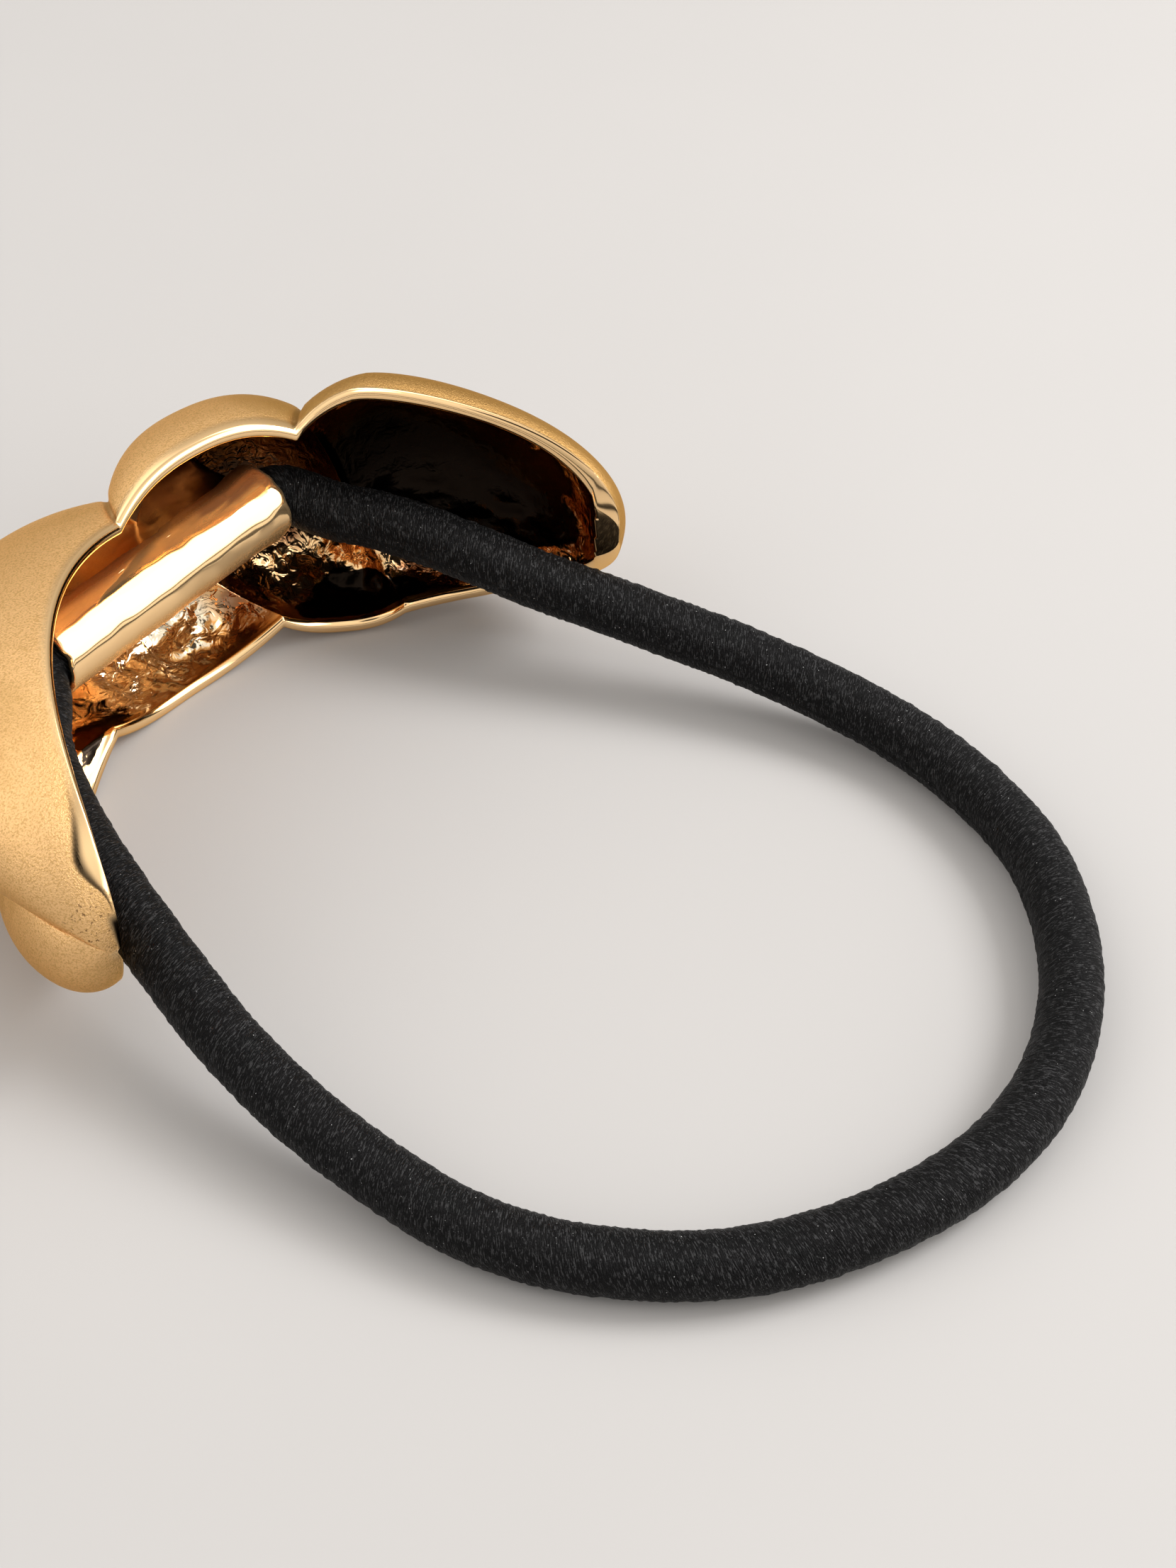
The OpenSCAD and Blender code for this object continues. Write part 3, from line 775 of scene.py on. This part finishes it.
def makeCastMetal(g):
    # colour, roughness and relief of the cast metal, satin to polished to rough inside
    masks = ("Polish", "Cast", "Crease", "ShadeAndTarnish", "BrownReflection", "PaleHighlight", "Shade", "Pits")
    outputs = {"Color": "NodeSocketColor", "Roughness": "NodeSocketFloat", "Grain": "NodeSocketFloat",
               "Lumps": "NodeSocketFloat"}
    group, mask, result = newGroup("castMetal", {**dict.fromkeys(masks, 0.0), "Age": 1.0}, outputs)
    place = placeInMm(group)
    speckle = noiseNode(group, place, *g["speckleNoise"])
    # the mottled dark of the hollow, painted shade with some dark tarnish
    reach = product(group, mask["ShadeAndTarnish"], g["shadeStainReach"])
    shadeStain = mathNode(group, "SUBTRACT", reach, noiseNode(group, place, *g["shadeStainNoise"]))
    shadeStain = ramp(group, shadeStain, *g["shadeStainRamp"])
    grain = mixValue(group, g["fineShare"], speckle, noiseNode(group, place, *g["fineNoise"]))
    satin = mathNode(group, "SUBTRACT", 1.0, mask["Polish"])
    lumps = noiseNode(group, place, *g["lumpNoise"])
    # less relief where the hollow is painted dark
    clean = mathNode(group, "SUBTRACT", 1.0, product(group, mask["ShadeAndTarnish"], g["shadeStainCalm"]))
    setSocket(group, result["Color"], metalColor(group, g, place, mask, speckle, shadeStain))
    setSocket(group, result["Roughness"], metalRough(group, g, mask, speckle, shadeStain))
    setSocket(group, result["Grain"], product(group, grain, satin))
    setSocket(group, result["Lumps"], product(group, lumps, mask["Cast"], clean))
    return group


castMetal = makeCastMetal(gold)


def goldMaterial(g, name, sources, grainHigh, metallic=1):
    # each mask comes from the attribute that is named, or is a plain value
    material, tree, shader = newMaterial(name, {"Metallic": metallic, "Specular Tint": g["edgeTint"]})
    metal = addNode(tree, "ShaderNodeGroup", node_tree=castMetal)
    for title, source in sources.items():
        setSocket(tree, metal.inputs[title], attribute(tree, source) if isinstance(source, str) else source)
    setSocket(tree, shader.inputs["Base Color"], metal.outputs["Color"])
    setSocket(tree, shader.inputs["Roughness"], metal.outputs["Roughness"])
    lumps = bumpNode(tree, g["lumpsHigh"], metal.outputs["Lumps"])
    grain = bumpNode(tree, grainHigh, metal.outputs["Grain"], Normal=lumps)
    setSocket(tree, shader.inputs["Normal"], grain)
    return material


shellFinish = {"Polish": "polish", "Cast": "cast", "Crease": "crease", "ShadeAndTarnish": "shadeAndTarnish", "BrownReflection": "brownReflection",
               "PaleHighlight": "paleHighlight", "Shade": "shade", "Pits": "pits"}
# the sleeve's back strip and the web get painted brown reflection; the web's shade is painted shade
sleeveFinish = {"Polish": "polish", "BrownReflection": "brownReflection", "Age": 0.0}
webFinish = {"Polish": 0.55, "BrownReflection": 0.55, "Shade": "shade"}
goldShell = goldMaterial(gold, "goldShell", shellFinish, gold["grainHigh"])
goldSleeve = goldMaterial(gold, "goldSleeve", sleeveFinish, gold["grainHigh"], gold["sleeveMetallic"])
goldWeb = goldMaterial(gold, "goldWeb", webFinish, gold["webGrainHigh"])
shell.data.materials.append(goldShell)
sleevePiece.data.materials.append(goldSleeve)
webPiece.data.materials.append(goldWeb)


thread = {
    "dark": (0.003, 0.003, 0.0032, 1), "light": (0.034, 0.034, 0.035, 1), "lint": (0.5, 0.5, 0.5, 1),
    # strokes for each mm
    "across": 14.0, "along": 2.3, "slant": 0.3, "change": 0.8, "strokeNoise": (1.0, 1.0, 0.5, 0.1),
    "fuzz": 0.35, "fuzzNoise": (9.0, 1.0, 0.5), "toneRamp": (0.70, 0.86), "high": 0.14,
    "lintNoise": (8.0, 1.0, 0.5), "lintRamp": (0.77, 0.82),
    "shader": {"Roughness": 0.5, "Specular IOR Level": 0.08, "Sheen Weight": 0.01, "Sheen Roughness": 0.4},
}


def threadMaterial(t):
    material, tree, shader = newMaterial("woundThread", t["shader"])
    run, around = attribute(tree, "run"), attribute(tree, "around")
    place = placeInMm(tree)
    # short slanted strokes of thread
    slanted = mathNode(tree, "MULTIPLY_ADD", around, t["slant"], run)
    flat = addNode(tree, "ShaderNodeCombineXYZ", {
        "X": product(tree, slanted, t["across"]), "Y": product(tree, around, t["along"]),
        "Z": product(tree, run, t["change"])}).outputs[0]
    strokes = noiseNode(tree, flat, *t["strokeNoise"])
    height = mathNode(tree, "MULTIPLY_ADD", noiseNode(tree, place, *t["fuzzNoise"]), t["fuzz"], strokes)
    color = mixColor(tree, ramp(tree, height, *t["toneRamp"]), t["dark"], t["light"])
    lint = ramp(tree, noiseNode(tree, place, *t["lintNoise"]), *t["lintRamp"])
    setSocket(tree, shader.inputs["Base Color"], mixColor(tree, lint, color, t["lint"]))
    setSocket(tree, shader.inputs["Normal"], bumpNode(tree, t["high"], height))
    return material


elasticLoop.data.materials.append(threadMaterial(thread))
print("finishes made")


ground = {
    "reach": 2,
    "tones": [(0.432, 0.422, 0.416, 1), (0.452, 0.441, 0.434, 1)],
    "toneNoise": (0.03, 2.0, 0.5),
    "shader": {"Roughness": 0.6, "Specular IOR Level": 0.2},
}


def makeFloor(g):
    a = g["reach"]
    mesh = bpy.data.meshes.new("floor")
    mesh.from_pydata([(-a, -a, 0), (a, -a, 0), (a, a, 0), (-a, a, 0)], [], [(0, 1, 2, 3)])
    floor = bpy.data.objects.new("floor", mesh)
    scene.collection.objects.link(floor)
    material, tree, shader = newMaterial("paleFloor", g["shader"])
    tone = noiseNode(tree, placeInMm(tree), *g["toneNoise"])
    setSocket(tree, shader.inputs["Base Color"], mixColor(tree, tone, *g["tones"]))
    floor.data.materials.append(material)


makeFloor(ground)


room = {
    # a pale room: low up to lowTo, high from highFrom, and plain where it is seen
    "color": (1.0, 0.97, 0.935, 1), "low": 0.50, "lowTo": 0.20, "high": 0.78, "highFrom": 0.80, "plain": 0.72,
    # a bright window at the cuff's back, which reaches down to the floor at its +y end
    "window": 2.2, "windowX": (0.26, 0.36, 0.64, 0.72), "windowY": (-0.26, -0.14), "windowZ": (0.34, 0.44),
    "windowDrop": (-0.1, 0.25, 0.0, 0.34), "windowSpread": (0.45, 0.75, 0.0, 0.35),
    # paler walls: strength, and from and to along each direction
    "behind": 0.72, "behindX": (-0.46, -0.14), "behindY": (-0.10, -0.50), "behindZ": (0.20, 0.60, 0.90, 0.99),
    "left": 0.8, "leftX": (0.05, 0.55), "leftY": (0.25, -0.25), "leftZ": (0.03, 0.20),
    "front": 0.35, "frontY": (0.15, 0.65), "frontZ": (0.02, 0.22),
    # a dark spot, in degrees, and a dark line at the floor
    "darkWay": (0.5595, 0.4378, 0.7038), "darkWide": 15, "darkCore": 9, "darkLeast": 0.04,
    "darkLine": (0.030, 0.055, 0.02, 1.0),
}

sheet = {"way": (-0.56, 0.52, 0.64), "far": 0.38, "wide": 0.15, "power": 0.80}


def makeSheet(s):
    data = bpy.data.lights.new("overheadSheet", "AREA")
    data.shape = "SQUARE"
    data.size = s["wide"]
    data.energy = s["power"]
    obj = bpy.data.objects.new("overheadSheet", data)
    scene.collection.objects.link(obj)
    direction = Vector(s["way"]).normalized()
    obj.location = direction * s["far"]
    obj.rotation_euler = direction.to_track_quat("Z", "Y").to_euler()


def windowMask(tree, r, x, y, z):
    back = product(tree, x, -1.0)
    inside, full, stillFull, outside = r["windowX"]
    lowered = mathNode(tree, "ADD", z, ramp(tree, y, *r["windowDrop"]))
    wider = mathNode(tree, "ADD", back, ramp(tree, y, *r["windowSpread"]))
    return product(tree, ramp(tree, wider, inside, full), ramp(tree, back, stillFull, outside, 1.0, 0.0),
                   ramp(tree, y, *r["windowY"]), ramp(tree, lowered, *r["windowZ"]))


def wallLight(tree, r, x, y, z):
    wall = ramp(tree, z, r["lowTo"], r["highFrom"], r["low"], r["high"])
    low, lowFull, highFull, high = r["behindZ"]
    behind = product(tree, ramp(tree, x, *r["behindX"]), ramp(tree, y, *r["behindY"]),
                     ramp(tree, z, low, lowFull), ramp(tree, z, highFull, high, 1.0, 0.0))
    front = product(tree, ramp(tree, y, *r["frontY"]), ramp(tree, z, *r["frontZ"]))
    left = product(tree, ramp(tree, x, *r["leftX"]), ramp(tree, y, *r["leftY"]), ramp(tree, z, *r["leftZ"]))
    for part, strength in ((behind, r["behind"]), (front, r["front"]), (left, r["left"])):
        wall = mathNode(tree, "MULTIPLY_ADD", part, strength, wall)
    return wall


def makeRoom(r):
    world = bpy.data.worlds.new("room")
    scene.world = world
    world.use_nodes = True
    tree = world.node_tree
    background = tree.nodes["Background"]
    way = addNode(tree, "ShaderNodeTexCoord").outputs["Generated"]
    x, y, z = addNode(tree, "ShaderNodeSeparateXYZ", {0: way}).outputs
    toDark = addNode(tree, "ShaderNodeVectorMath", {0: way, 1: Vector(r["darkWay"]).normalized()},
                     operation="DOT_PRODUCT").outputs["Value"]
    edge, core = math.cos(math.radians(r["darkWide"])), math.cos(math.radians(r["darkCore"]))
    wall = product(tree, wallLight(tree, r, x, y, z), ramp(tree, toDark, edge, core, 1.0, r["darkLeast"]))
    light = mathNode(tree, "MULTIPLY_ADD", windowMask(tree, r, x, y, z), r["window"], wall)
    light = product(tree, light, ramp(tree, z, *r["darkLine"]))
    # the room itself is plain where it is seen directly
    seen = addNode(tree, "ShaderNodeLightPath").outputs["Is Camera Ray"]
    setSocket(tree, background.inputs["Strength"], mixValue(tree, seen, light, r["plain"]))
    background.inputs["Color"].default_value = r["color"]


makeSheet(sheet)
makeRoom(room)
print("floor and light made")
